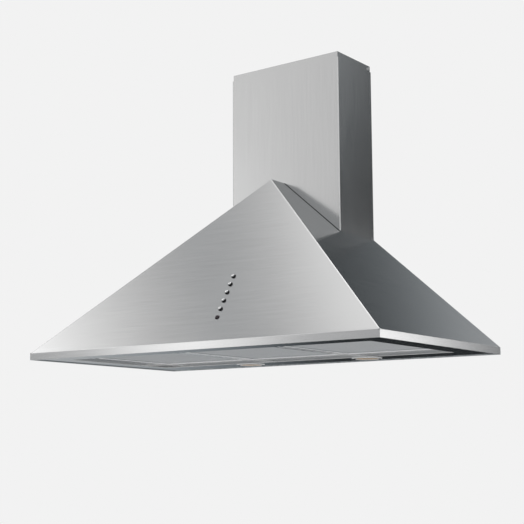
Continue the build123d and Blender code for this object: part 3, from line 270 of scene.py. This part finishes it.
# %% Lamp glass, bulb and pilot lens
def frosted_glass(name, hex_colour, rough, transmission):
    """Tinted glass, misty where it is rough and clear where it is smooth."""
    material, tree, shader, place = new_finish(name, IOR=1.5, Transmission_Weight=transmission)
    etch = add(tree, "ShaderNodeTexNoise", {"Scale": 900.0, "Detail": 2.0}, {"Vector": place})
    tone = add(tree, "ShaderNodeValToRGB", links={"Fac": etch.outputs["Fac"]})
    base = linear(hex_colour)
    tone.color_ramp.elements[0].color = tuple(v * 0.9 for v in base[:3]) + (1.0,)
    tone.color_ramp.elements[1].color = base
    spread = add(tree, "ShaderNodeMapRange", {"To Min": rough * 0.8, "To Max": rough * 1.2},
                 {"Value": etch.outputs["Fac"]})
    tree.links.new(tone.outputs["Color"], shader.inputs["Base Color"])
    tree.links.new(spread.outputs["Result"], shader.inputs["Roughness"])
    return material


dress(frosted_glass("frosted_warm_glass", "e9c9a0", 0.4, 0.5), "lamp_glass_left", "lamp_glass_right")
dress(frosted_glass("bulb_glass", "f4efe4", 0.08, 0.6), "lamp_bulb_left", "lamp_bulb_right")
dress(frosted_glass("pilot_dark_red", "30222a", 0.12, 0.2), "pilot_lens")

# %% [markdown]
# ## Rounded corners of the sheet
# A press brake leaves a small radius on every fold, and the hips of the canopy are welded and
# ground to a round seam. Such an edge looks in many directions at once, so it picks up the
# brightest part of the room and shows as a fine bright line. The CAD sheets meet in sharp
# corners. A Bevel modifier on them would bend the light on the large faces too, so each corner
# gets its own slim round bead instead: a circle is extruded along the corner and lies a
# fraction of a millimetre proud of the sheets, but never outside the hood's own box.

# %% A bead along a corner
RIM, RIDGE, HALF, FRONT, APEX = 15.0, 406.0, 450.0, -250.0, 54.0  # as in the CAD model, in mm
LEAN = Vector((0, FRONT - APEX, 0)).length
FACE = {"front": Vector((0, RIM - RIDGE, LEAN)).normalized(),
        "right": Vector((RIDGE - RIM, 0, HALF)).normalized(),
        "left": Vector((RIM - RIDGE, 0, HALF)).normalized(),
        "ahead": Vector((0, -1, 0)), "to_right": Vector((1, 0, 0)), "to_left": Vector((-1, 0, 0))}
BEAD_SIDES = 20
BEAD_SMOOTH = math.radians(40)


def bead(name, body, start, end, sides, proud, radius):
    """A round strip along the corner of two sheets, in mm; proud is how far it stands off each."""
    one, two = FACE[sides[0]], FACE[sides[1]]
    lean = one.dot(two)
    off_one, off_two = (height - radius for height in proud)
    share = (off_two - lean * off_one) / (1 - lean * lean)
    inward = one * (off_one - lean * share) + two * share
    low, high = ((Vector(point) + inward) / 1000 for point in (start, end))
    bpy.ops.object.select_all(action="DESELECT")
    along = (high - low).to_track_quat("Z", "Y").to_euler()
    bpy.ops.mesh.primitive_circle_add(vertices=BEAD_SIDES, radius=radius / 1000, fill_type="NGON",
                                      location=low, rotation=along)
    piece = bpy.context.object
    piece.name = name
    bpy.ops.object.transform_apply(location=True, rotation=True, scale=True)
    bpy.ops.object.mode_set(mode="EDIT")
    bpy.ops.mesh.select_all(action="SELECT")
    bpy.ops.mesh.extrude_region_move(TRANSFORM_OT_translate={"value": high - low})
    bpy.ops.mesh.select_all(action="SELECT")
    bpy.ops.mesh.normals_make_consistent(inside=False)
    bpy.ops.object.mode_set(mode="OBJECT")
    bpy.ops.object.shade_smooth_by_angle(angle=BEAD_SMOOTH)
    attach(piece, body)
    return piece


def ground_seam(name):
    """Stainless steel ground along a corner: the belt leaves it a little smoother than the sheet."""
    material, tree, shader, place = new_finish(name, Metallic=1.0)
    marks = add(tree, "ShaderNodeTexNoise", {"Scale": 260.0, "Detail": 3.0}, {"Vector": place})
    tone = add(tree, "ShaderNodeValToRGB", links={"Fac": marks.outputs["Fac"]})
    tone.color_ramp.elements[0].color = linear("cdcdcd")
    tone.color_ramp.elements[1].color = linear("dcdcdc")
    spread = add(tree, "ShaderNodeMapRange", {"To Min": 0.16, "To Max": 0.26},
                 {"Value": marks.outputs["Fac"]})
    tree.links.new(tone.outputs["Color"], shader.inputs["Base Color"])
    tree.links.new(spread.outputs["Result"], shader.inputs["Roughness"])
    return material


print("the front slope rises", RIDGE - RIM, "mm over a depth of", APEX - FRONT, "mm")

# %% Beads on the canopy and the chimney
REAR, CHIMNEY_X, CHIMNEY_Y, CHIMNEY_TOP = 249.0, 148.0, 106.0, 676.0
HIP_START = 0.004  # share of the hip left free: at the very corner the seam would leave the box
CHIMNEY_FOOT = RIDGE - CHIMNEY_X * (RIDGE - RIM) / HALF
beads = []
for side, way_out, x in (("left", "to_left", -1), ("right", "to_right", 1)):
    corner, apex = Vector((x * HALF, FRONT, RIM)), Vector((0, APEX, RIDGE))
    foot, top = (x * CHIMNEY_X, CHIMNEY_Y, CHIMNEY_FOOT + 2), (x * CHIMNEY_X, CHIMNEY_Y, CHIMNEY_TOP)
    beads.append(bead("hip_seam_" + side, "canopy", corner.lerp(apex, HIP_START), apex,
                      ("front", side), (0.2, 0.2), 1.2))
    beads.append(bead("rim_fold_" + side, "canopy", corner, (x * HALF, REAR, RIM),
                      (side, way_out), (0.3, 0.0), 1.4))
    beads.append(bead("chimney_fold_" + side, "canopy", foot, top,
                      ("ahead", way_out), (0.4, 0.4), 1.5))
beads.append(bead("rim_fold_front", "canopy", (-HALF, FRONT, RIM), (HALF, FRONT, RIM),
                  ("front", "ahead"), (0.25, 0.0), 1.4))
seam_finish = ground_seam("ground_stainless_seam")
for piece in beads:
    piece.data.materials.append(seam_finish)
print(len(beads), "beads, the longest", round(max(p.dimensions.length for p in beads), 3), "m")

# %% [markdown]
# ## The joint at the foot of the chimney
# Where the chimney stands on the canopy's side slopes there is a thin black line, the shadow in
# the gap between the sheets. It is painted shadow: a black bead in the inner corner between each
# slope and the chimney's front face.

# %% Dark joint
JOINT = 1.0  # its radius, and how far it stands off each sheet
# the black bead is painted shadow of the gap at the chimney's foot
shadow_gap_finish = moulded("painted_shadow_gap_black", "161718", 0.5)
for side, x in (("left", -1), ("right", 1)):
    joint = bead("foot_shadow_gap_" + side, "canopy", (x * 0.5, CHIMNEY_Y, RIDGE - 0.5),
                 (x * (CHIMNEY_X - 1), CHIMNEY_Y, CHIMNEY_FOOT + 1),
                 (side, "ahead"), (JOINT, JOINT), JOINT)
    joint.data.materials.append(shadow_gap_finish)
print("joint", round(joint.dimensions.length, 3), "m long on each side")

# %% [markdown]
# ## Domed button caps
# Each button ends in a small polished dome. A flat cap would mirror one patch of the room
# like the panel round it, and vanish. A dome mirrors half the room: light on one side and
# dark on the other, which is what makes a button stand out. A filled circle is inset and
# lifted in steps, each step smaller and flatter, like the rings of a shallow onion.

# %% Dome on each button
ROW_X, ROW_UP, ROW_TILT, ROW_PITCH = 45.2, 123.5, math.radians(6.3), 23.7
CAP_FLAT, CAP_PROUD, CAP_SINK = 3.3, 3.4, 0.05
CAP_SIDES = 28
CAP_SMOOTH = math.radians(60)
up_the_panel = Vector((0, APEX - FRONT, RIDGE - RIM)).normalized()
along_row = Vector((-math.sin(ROW_TILT), 0, 0)) + up_the_panel * math.cos(ROW_TILT)
across_row = FACE["front"].cross(along_row)
row_middle = Vector((ROW_X, FRONT, RIM)) + up_the_panel * ROW_UP


def dome(name, body, offset, rings):
    """A dome over a button; rings are (radius, height) pairs in mm from the cap upwards."""
    bpy.ops.object.select_all(action="DESELECT")
    bpy.ops.mesh.primitive_circle_add(vertices=CAP_SIDES, radius=rings[0][0] / 1000, fill_type="NGON")
    piece = bpy.context.object
    piece.name = name
    bpy.ops.object.mode_set(mode="EDIT")
    bpy.ops.mesh.select_all(action="SELECT")
    bpy.ops.mesh.extrude_region_move(TRANSFORM_OT_translate={"value": (0, 0, rings[0][1] / 1000)})
    for (wide, low), (narrow, high) in zip(rings, rings[1:]):
        bpy.ops.mesh.inset(thickness=(wide - narrow) / 1000, depth=(high - low) / 1000)
    bpy.ops.mesh.select_all(action="SELECT")
    bpy.ops.mesh.normals_make_consistent(inside=False)
    bpy.ops.object.mode_set(mode="OBJECT")
    seat = (row_middle + along_row * offset + FACE["front"] * (CAP_PROUD - CAP_SINK)) / 1000
    turn = Matrix((along_row, across_row, FACE["front"])).transposed().to_4x4()
    piece.matrix_world = Matrix.Translation(seat) @ turn
    bpy.ops.object.transform_apply(location=True, rotation=True, scale=True)
    bpy.ops.object.shade_smooth_by_angle(angle=CAP_SMOOTH)
    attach(piece, body)
    return piece


ROUND = ((CAP_FLAT, 0.15), (3.1, 0.5), (2.7, 0.8), (2.1, 1.05), (1.3, 1.25), (0.5, 1.32))
LOWEST_CAP = -1.5  # in pitches from the row's middle; the pilot lens has the place below it
domes = [dome("button_cap_" + name, "button_" + name, (place + LOWEST_CAP) * ROW_PITCH, ROUND)
         for place, name in enumerate(("light", "speed_3", "speed_2", "speed_1", "off"))]
cap_finish = plated("cap_chrome_plate", "e2e2e2", 0.1)
for piece in domes:
    piece.data.materials.append(cap_finish)
print(len(domes), "domes, each", round(max(domes[0].dimensions) * 1000, 1), "mm across")

# %% [markdown]
# ## Expanded metal in the filters
# From below, a filter shows real expanded metal: aluminium foil that is slit and pulled open
# into diamonds about 8 by 5 mm. One open sheet is laid under the plain ones. A grid is turned
# by 45 degrees and stretched so that its squares become diamonds, cut to the opening of the
# frame with a notch for the latch's case, and a Wireframe modifier turns each of its edges
# into a strand.

# %% One sheet of diamonds
DIAMOND_X, DIAMOND_Y, STRAND = 8.0, 5.0, 0.9
RAIL, FILTER_Y, FILTER_HALF, FILTER_PITCH = 12.0, (-180.5, 151.5), 128.66, 259.33
CASE_HALF, CASE_REAR, MESH_FACE = 27.3, -144.2, 13.0
COUNT = 92  # squares along each side of the grid


def cut(point, normal):
    """Cuts what is selected and clears the side that the normal points to."""
    bpy.ops.mesh.bisect(plane_co=[v / 1000 for v in point], plane_no=normal, clear_outer=True)


def pick_faces(piece, test):
    """Selects the faces whose centre, in mm, passes a test; the piece is in edit mode."""
    bpy.ops.mesh.select_mode(type="FACE")
    bpy.ops.mesh.select_all(action="DESELECT")
    shape = bmesh.from_edit_mesh(piece.data)
    for face in shape.faces:
        face.select = test(face.calc_center_median() * 1000)
    shape.select_flush_mode()
    bmesh.update_edit_mesh(piece.data)


mid_y = sum(FILTER_Y) / 2
centre = Vector((0, mid_y, MESH_FACE - STRAND / 2)) / 1000
bpy.ops.object.select_all(action="DESELECT")
bpy.ops.mesh.primitive_grid_add(x_subdivisions=COUNT, y_subdivisions=COUNT, location=centre,
                                size=COUNT * DIAMOND_Y / math.sqrt(2) / 1000)
sheet = bpy.context.object
sheet.name = "expanded_sheet_centre"
bpy.ops.object.transform_apply(location=True, rotation=True, scale=True)
bpy.ops.object.mode_set(mode="EDIT")
bpy.ops.mesh.select_all(action="SELECT")
bpy.ops.transform.rotate(value=math.radians(45), orient_axis="Z", center_override=centre)
bpy.ops.transform.resize(value=(DIAMOND_X / DIAMOND_Y, 1, 1), center_override=centre)
open_x, open_y = FILTER_HALF - RAIL, (FILTER_Y[0] + RAIL, FILTER_Y[1] - RAIL)
for point, normal in (((open_x, 0, 0), (1, 0, 0)), ((-open_x, 0, 0), (-1, 0, 0)),
                      ((0, open_y[0], 0), (0, -1, 0)), ((0, open_y[1], 0), (0, 1, 0))):
    bpy.ops.mesh.select_all(action="SELECT")
    cut(point, normal)
for point, normal in (((CASE_HALF, 0, 0), (1, 0, 0)), ((-CASE_HALF, 0, 0), (1, 0, 0)),
                      ((0, CASE_REAR, 0), (0, 1, 0))):
    pick_faces(sheet, lambda c: abs(c.x) < CASE_HALF + DIAMOND_X and c.y < CASE_REAR + DIAMOND_Y)
    bpy.ops.mesh.bisect(plane_co=[v / 1000 for v in point], plane_no=normal)
pick_faces(sheet, lambda c: abs(c.x) < CASE_HALF and c.y < CASE_REAR)
bpy.ops.mesh.delete(type="FACE")
bpy.ops.object.mode_set(mode="OBJECT")
strands = sheet.modifiers.new("strands", "WIREFRAME")
strands.thickness = STRAND / 1000
strands.use_even_offset = False
bpy.ops.object.modifier_apply(modifier="strands")
print("one sheet has", len(sheet.data.polygons), "faces")

# %% A sheet for each filter
def strand_foil(name):
    """Bare aluminium foil: bright, with the fine drawn skin of the rolling mill."""
    material, tree, shader, place = new_finish(name, Metallic=1.0)
    skin = add(tree, "ShaderNodeTexNoise", {"Scale": 420.0, "Detail": 3.0}, {"Vector": place})
    tone = add(tree, "ShaderNodeValToRGB", links={"Fac": skin.outputs["Fac"]})
    tone.color_ramp.elements[0].color = linear("a8aaac")
    tone.color_ramp.elements[1].color = linear("c8cacc")
    spread = add(tree, "ShaderNodeMapRange", {"To Min": 0.3, "To Max": 0.45}, {"Value": skin.outputs["Fac"]})
    tree.links.new(tone.outputs["Color"], shader.inputs["Base Color"])
    tree.links.new(spread.outputs["Result"], shader.inputs["Roughness"])
    return material


sheet.data.materials.append(strand_foil("rolled_aluminium_foil"))
for side, shift in (("left", -1), ("right", 1)):
    twin = bpy.data.objects.new("expanded_sheet_" + side, sheet.data.copy())
    bpy.context.scene.collection.objects.link(twin)
    twin.data.transform(Matrix.Translation((shift * FILTER_PITCH / 1000, 0, 0)))
    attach(twin, "filter_" + side)
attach(sheet, "filter_centre")
print("the side sheets lie", FILTER_PITCH, "mm from the middle one")

# %% [markdown]
# ## Studio
# The hood hangs as it would on a wall, so the camera looks slightly up at it and the floor is
# well below. Brushed metal has no colour of its own to show: it shows the studio. Each sheet
# leans its own way and so mirrors one patch of the room. The world is therefore a soft light
# tent: pale in front, brighter high on the left and mostly dark behind the hood, with one
# bright strip low on the right. Round soft lamps and one dark flag are added to it.

# %% Floor
BACKDROP = "f2f2f2"
FLOOR_DROP, FLOOR_RADIUS = 1.6, 5.5
FLOOR_LIFT = 0.172  # a glow that only the camera sees, so that the floor meets the backdrop's tone
bpy.ops.object.select_all(action="DESELECT")
bpy.ops.mesh.primitive_circle_add(vertices=96, radius=FLOOR_RADIUS, fill_type="NGON",
                                  location=(0, 0, -FLOOR_DROP))
floor = bpy.context.object
floor.name = "floor"
floor_finish, tree, shader, place = new_finish("pale_floor", Roughness=0.9)
shader.inputs["Base Color"].default_value = linear("e6e6e6")
shader.inputs["Emission Color"].default_value = linear("ffffff")
view_ray = add(tree, "ShaderNodeLightPath")
lift = add(tree, "ShaderNodeMath", {"operation": "MULTIPLY", 1: FLOOR_LIFT},
           {0: view_ray.outputs["Is Camera Ray"]})
tree.links.new(lift.outputs[0], shader.inputs["Emission Strength"])
floor.data.materials.append(floor_finish)
print("floor", FLOOR_DROP, "m below the rim")

# %% The light tent
world = bpy.data.worlds.new("studio")
bpy.context.scene.world = world
world.use_nodes = True
sky = world.node_tree
sky.nodes.clear()
heading = add(sky, "ShaderNodeTexCoord").outputs["Generated"]
way = add(sky, "ShaderNodeSeparateXYZ", links={"Vector": heading})
TENT_TOP = 2.5  # the colour ramps hold 0 to 1, and this is what 1 stands for


def blend(share, low, high):
    """Goes from low to high as share goes from 0 to 1; each is a socket or a number."""
    made = add(sky, "ShaderNodeMix", {"data_type": "FLOAT"})
    for slot, value in ((0, share), (2, low), (3, high)):
        if isinstance(value, (int, float)):
            made.inputs[slot].default_value = value
        else:
            sky.links.new(value, made.inputs[slot])
    return made.outputs[0]


def step_up(value, start, end):
    """0 below start and 1 above end, with a smooth rise between."""
    limits = {"interpolation_type": "SMOOTHSTEP", "From Min": start, "From Max": end}
    return add(sky, "ShaderNodeMapRange", limits, {"Value": value}).outputs["Result"]


def by_height(*stops):
    """Brightness by the height of a direction, from -1 straight down to 1 straight up."""
    rise = add(sky, "ShaderNodeMapRange", {"From Min": -1.0, "From Max": 1.0}, {"Value": way.outputs["Z"]})
    ramp = add(sky, "ShaderNodeValToRGB", links={"Fac": rise.outputs["Result"]})
    ramp.color_ramp.interpolation = "LINEAR"
    while len(ramp.color_ramp.elements) < len(stops):
        ramp.color_ramp.elements.new(0.5)
    for element, (height, bright) in zip(ramp.color_ramp.elements, stops):
        element.position = (height + 1) / 2
        element.color = (bright / TENT_TOP,) * 3 + (1.0,)
    return add(sky, "ShaderNodeMath", {"operation": "MULTIPLY", 1: TENT_TOP},
               {0: ramp.outputs["Color"]}).outputs[0]


def patch(x, y, z, width, bright):
    """A round soft light in one direction of the tent; width is in degrees."""
    centre_way = Vector((x, y, z)).normalized()
    near = add(sky, "ShaderNodeVectorMath", {"operation": "DOT_PRODUCT", 1: centre_way}, {0: heading})
    share = step_up(near.outputs["Value"], math.cos(math.radians(width)), 1.0)
    return add(sky, "ShaderNodeMath", {"operation": "MULTIPLY", 1: bright}, {0: share}).outputs[0]


left_front = by_height((-1.0, 0.75), (-0.1, 0.6), (0.05, 0.56), (0.2, 0.66), (0.3, 0.8), (0.45, 1.5),
                       (0.62, 2.5), (0.69, 1.3), (0.75, 0.68), (0.79, 0.43), (0.82, 0.64), (0.86, 1.45),
                       (1.0, 1.1))
mid_front = by_height((-1.0, 0.75), (-0.1, 0.5), (0.08, 0.42), (0.2, 0.58), (0.3, 0.56), (0.45, 0.5),
                      (0.6, 0.45), (0.8, 0.7), (1.0, 1.0))
back_slope = by_height((-1.0, 0.7), (-0.26, 0.03), (0.05, 0.02), (0.1, 0.28), (0.38, 0.48), (0.42, 0.42),
                       (0.46, 0.12), (0.50, 0.03), (0.56, 0.07), (0.68, 0.45), (1.0, 1.0))
right_back = by_height((-1.0, 0.7), (-0.26, 0.1), (0.0, 0.3), (0.05, 1.9), (0.11, 2.0), (0.14, 0.1),
                       (0.18, 0.0), (0.5, 0.08), (0.68, 0.45), (1.0, 1.0))
calm_front = by_height((-1.0, 0.75), (-0.1, 0.6), (0.06, 0.48), (0.12, 0.62), (0.2, 0.86), (0.3, 0.92),
                       (0.5, 0.9), (1.0, 1.0))
left_side = blend(step_up(way.outputs["Y"], -0.42, -0.2), calm_front, left_front)
front = blend(step_up(way.outputs["X"], -0.58, -0.36), left_side, mid_front)
mirror_lift = blend(step_up(way.outputs["X"], -0.08, 0.08), 1.0, 1.6)
slope = add(sky, "ShaderNodeMath", {"operation": "MULTIPLY"}, {0: back_slope, 1: mirror_lift}).outputs[0]
edge = blend(step_up(way.outputs["X"], 0.43, 0.485), 0.02, 1.0)
strip = add(sky, "ShaderNodeMath", {"operation": "MULTIPLY"}, {0: right_back, 1: edge}).outputs[0]
back = blend(step_up(way.outputs["X"], 0.34, 0.42), slope, strip)
tent = blend(step_up(way.outputs["Y"], 0.05, 0.45), front, back)
LAMPS = (  # direction in X, Y and Z, half-width in degrees, brightness; the negative one is the flag
    (-0.72, -0.50, 0.45, 14, 0.5), (-0.68, 0.60, 0.30, 24, 2.0), (-0.20, 0.36, 0.91, 20, 2.0),
    (0.79, -0.58, 0.15, 28, 1.2), (0.26, -0.39, 0.87, 22, -0.5), (-0.635, -0.77, 0.08, 4.6, 1.2),
    (-0.80, 0.60, -0.06, 22, 0.35), (0.76, 0.58, 0.38, 22.5, 1.1), (-0.64, -0.75, 0.17, 7, 0.4))
for soft_patch in [patch(*lamp) for lamp in LAMPS]:
    tent = add(sky, "ShaderNodeMath", {"operation": "ADD"}, {0: tent, 1: soft_patch}).outputs[0]
# the dim parts of the tent are a little bluish, like the photo's dark steel
cool = add(sky, "ShaderNodeMix", {"data_type": "RGBA"}, {"Factor": step_up(tent, 0.05, 0.7)})
cool.inputs[6].default_value = (0.88, 1.0, 1.08, 1.0)
cool.inputs[7].default_value = (1.0, 1.0, 1.0, 1.0)
soft = add(sky, "ShaderNodeBackground", links={"Color": cool.outputs[2], "Strength": tent})
print(len(LAMPS), "soft lamps and flags in the tent")

# %% The backdrop that the camera sees
seen = add(sky, "ShaderNodeBackground", {"Color": linear(BACKDROP), "Strength": 1.0})
ray = add(sky, "ShaderNodeLightPath")
pick = add(sky, "ShaderNodeMixShader",
           links={0: ray.outputs["Is Camera Ray"], 1: soft.outputs[0], 2: seen.outputs[0]})
add(sky, "ShaderNodeOutputWorld", links={"Surface": pick.outputs[0]})
print("backdrop", BACKDROP)

# %% [markdown]
# ## Camera
# The picture was taken from the right and a little below the rim, with a long lens. The
# camera looks up by about eight degrees, and a small lens shift sets the hood in the frame.

# %% Camera
FOCAL_PIXELS, PICTURE_PIXELS = 1185.1, 524
CENTRE_X, CENTRE_Y = 216.26, 283.0
CAMERA_PLACE, LOOK_UP, TURN = (1.51576, -2.08397, -0.1963), 7.955, 38.053
camera_data = bpy.data.cameras.new("camera")
camera_data.sensor_width = 36.0
camera_data.lens = FOCAL_PIXELS / PICTURE_PIXELS * camera_data.sensor_width
camera_data.shift_x = (PICTURE_PIXELS / 2 - CENTRE_X) / PICTURE_PIXELS
camera_data.shift_y = (CENTRE_Y - PICTURE_PIXELS / 2) / PICTURE_PIXELS
camera_data.clip_end = 200.0
camera = bpy.data.objects.new("camera", camera_data)
bpy.context.scene.collection.objects.link(camera)
camera.location = CAMERA_PLACE
camera.rotation_euler = (math.radians(90 + LOOK_UP), 0, math.radians(TURN))
bpy.context.scene.camera = camera
bpy.context.scene.view_settings.view_transform = "Standard"
print("lens", round(camera_data.lens, 2), "mm, shift", round(camera_data.shift_x, 4),
      round(camera_data.shift_y, 4))
